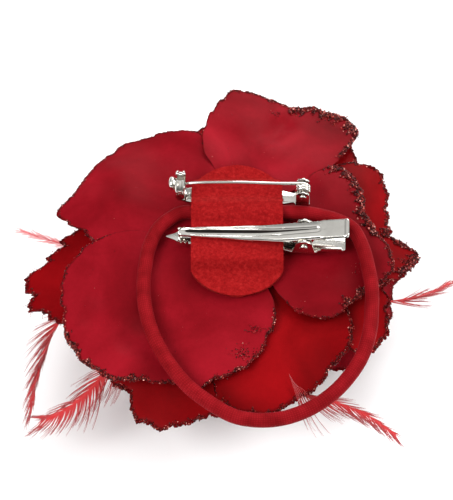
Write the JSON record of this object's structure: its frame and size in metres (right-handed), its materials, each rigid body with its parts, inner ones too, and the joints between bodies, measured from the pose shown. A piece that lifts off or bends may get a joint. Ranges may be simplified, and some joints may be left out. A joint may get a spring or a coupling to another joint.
{
  "type": "flower hair clip",
  "caption": "Fabric flower hair ornament with a sprung alligator clip, a brooch pin with safety catch and an elastic hair tie on its felt back.",
  "frame": {"origin": "middle of the bud's flat crown, on the surface that the flower lies face down on", "axes": "+Z the way the flower's back and its hardware face, +X along the clip towards its handle end, +Y from the clip towards the brooch pin"},
  "size_m": [0.1139, 0.1062, 0.0449],
  "materials": {
    "petal_satin": "matt satin petal cloth with a crust of dark red glitter on its ragged edges",
    "inner_petal": "matt satin petal cloth, a little darker",
    "felt": "soft fuzzy felt",
    "knit_elastic": "fine knitted cover, matt",
    "feather": "coral red feather fading to pale pink",
    "nickel_steel": "bright nickel plate",
    "stem_plastic": "moulded plastic, slightly glossy",
    "glue": "hot-melt glue"
  },
  "bodies": {
    "root": {"petals_1_back": "petal_satin", "petals_2": "petal_satin", "petals_3": "petal_satin", "petals_4": "inner_petal", "petals_5": "inner_petal", "petals_6_bud_wrap": "inner_petal", "bud_core": "inner_petal", "stem_post": "stem_plastic", "stem_cap": "stem_plastic", "feather_left": "feather", "feather_lower_left": "feather", "feather_bottom_left": "feather", "feather_right": "feather", "feather_bottom_right": "feather", "glue_under_clip": "glue", "glue_under_pin": "glue", "felt_pad": "felt", "hair_tie": "knit_elastic", "elastic_join": "knit_elastic", "clip_lower_jaw": "nickel_steel", "clip_axle": "nickel_steel", "clip_spring": "nickel_steel", "pin_bar": "nickel_steel", "pin_rivet": "nickel_steel"},
    "clip_arm": {"clip_upper_arm": "nickel_steel"},
    "pin": {"pin_wire": "nickel_steel"},
    "catch": {"catch_rotor": "nickel_steel"}
  },
  "joints": [
    {"name": "clip_arm_hinge", "type": "hinge", "parent": "root", "child": "clip_arm", "pos_m": [0.0177, -0.0041, 0.0388], "axis": [0.0523, 0.9986, 0], "range_deg": [0, 25], "stiffness_Nm_per_rad": 0.06, "springref_deg": -68.75, "deforming": ["clip_spring"]},
    {"name": "pin_hinge", "type": "hinge", "parent": "root", "child": "pin", "pos_m": [0.01759, 0.00944, 0.0404], "axis": [0.0349, 0.9994, 0], "range_deg": [0, 100]},
    {"name": "catch_turn", "type": "hinge", "parent": "root", "child": "catch", "pos_m": [-0.01509, 0.01058, 0.0415], "axis": [0.9994, -0.0349, 0], "range_deg": [0, 90]}
  ]
}
